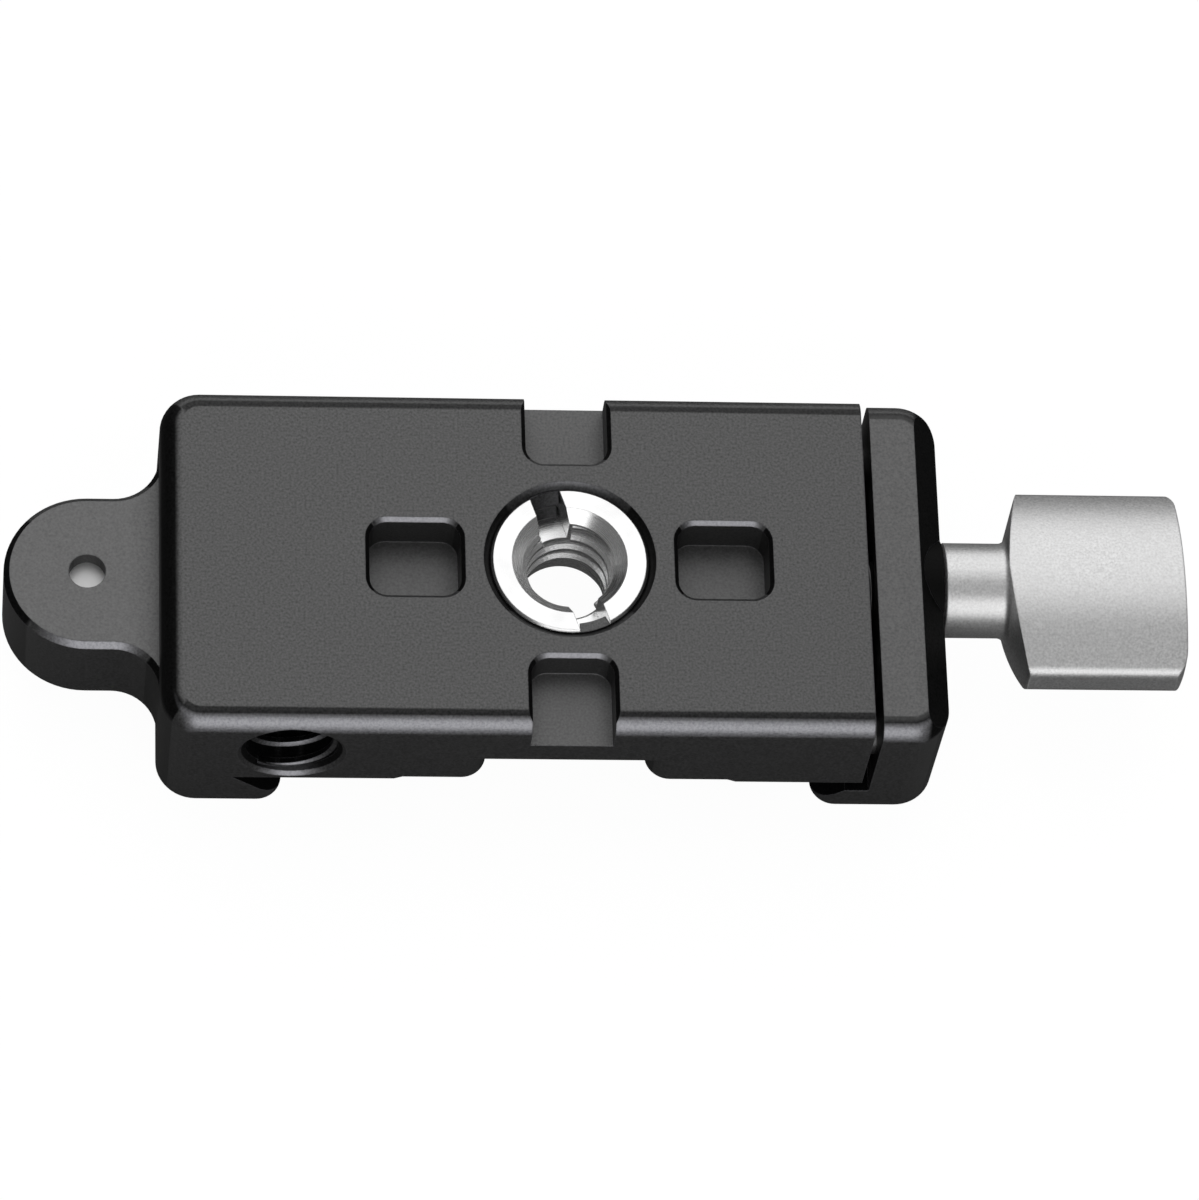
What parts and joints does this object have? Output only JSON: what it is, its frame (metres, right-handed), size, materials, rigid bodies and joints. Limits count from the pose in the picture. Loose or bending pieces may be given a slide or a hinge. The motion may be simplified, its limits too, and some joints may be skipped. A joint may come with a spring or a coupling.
{
  "type": "quick release clamp",
  "caption": "Screw-knob clamp for a dovetail camera plate, with a sprung sliding jaw, a slotted tripod thread bushing, an accessory thread in its side and a round bubble level.",
  "frame": {"origin": "tripod bushing's axis at the mounting face", "axes": "+Z out of the mounting face, away from the camera plate; +X from the level lug to the knob; the plate slides along Y"},
  "size_m": [0.0712, 0.0224, 0.0109],
  "materials": {
    "black_anodised": "bead-blasted and black anodised",
    "silver_anodised": "bead-blasted and clear anodised",
    "bright_steel": "turned, bright",
    "steel": "black oxide",
    "black_plastic": "moulded, matt",
    "clear_acrylic": "clear, polished",
    "level_liquid": "clear green liquid",
    "pale_plastic": "moulded, matt"
  },
  "bodies": {
    "base": {"base_body": "black_anodised", "thread_bushing": "bright_steel", "clamp_stud": "steel", "stop_screw": "steel", "jaw_spring_front": "steel", "jaw_spring_rear": "steel", "level_vial": "clear_acrylic", "level_liquid": "level_liquid", "level_plug": "pale_plastic"},
    "jaw": {"moving_jaw": "black_anodised", "guide_pin_front": "steel", "guide_pin_rear": "steel", "thrust_washer": "black_plastic"},
    "knob": {"knob": "silver_anodised"}
  },
  "joints": [
    {"name": "jaw_slide", "type": "slide", "parent": "base", "child": "jaw", "axis": [1, 0, 0], "range_m": [-0.0005, 0.006], "deforming": ["jaw_spring_front", "jaw_spring_rear"]},
    {"name": "knob_turn", "type": "hinge", "parent": "jaw", "child": "knob", "pos_m": [0.02274, 0, -0.00378], "axis": [1, 0, 0], "range_deg": [-257, 3085]}
  ],
  "couplings": [
    {"joint": "knob_turn", "follows": "jaw_slide", "rad_per_m": 8976}
  ]
}
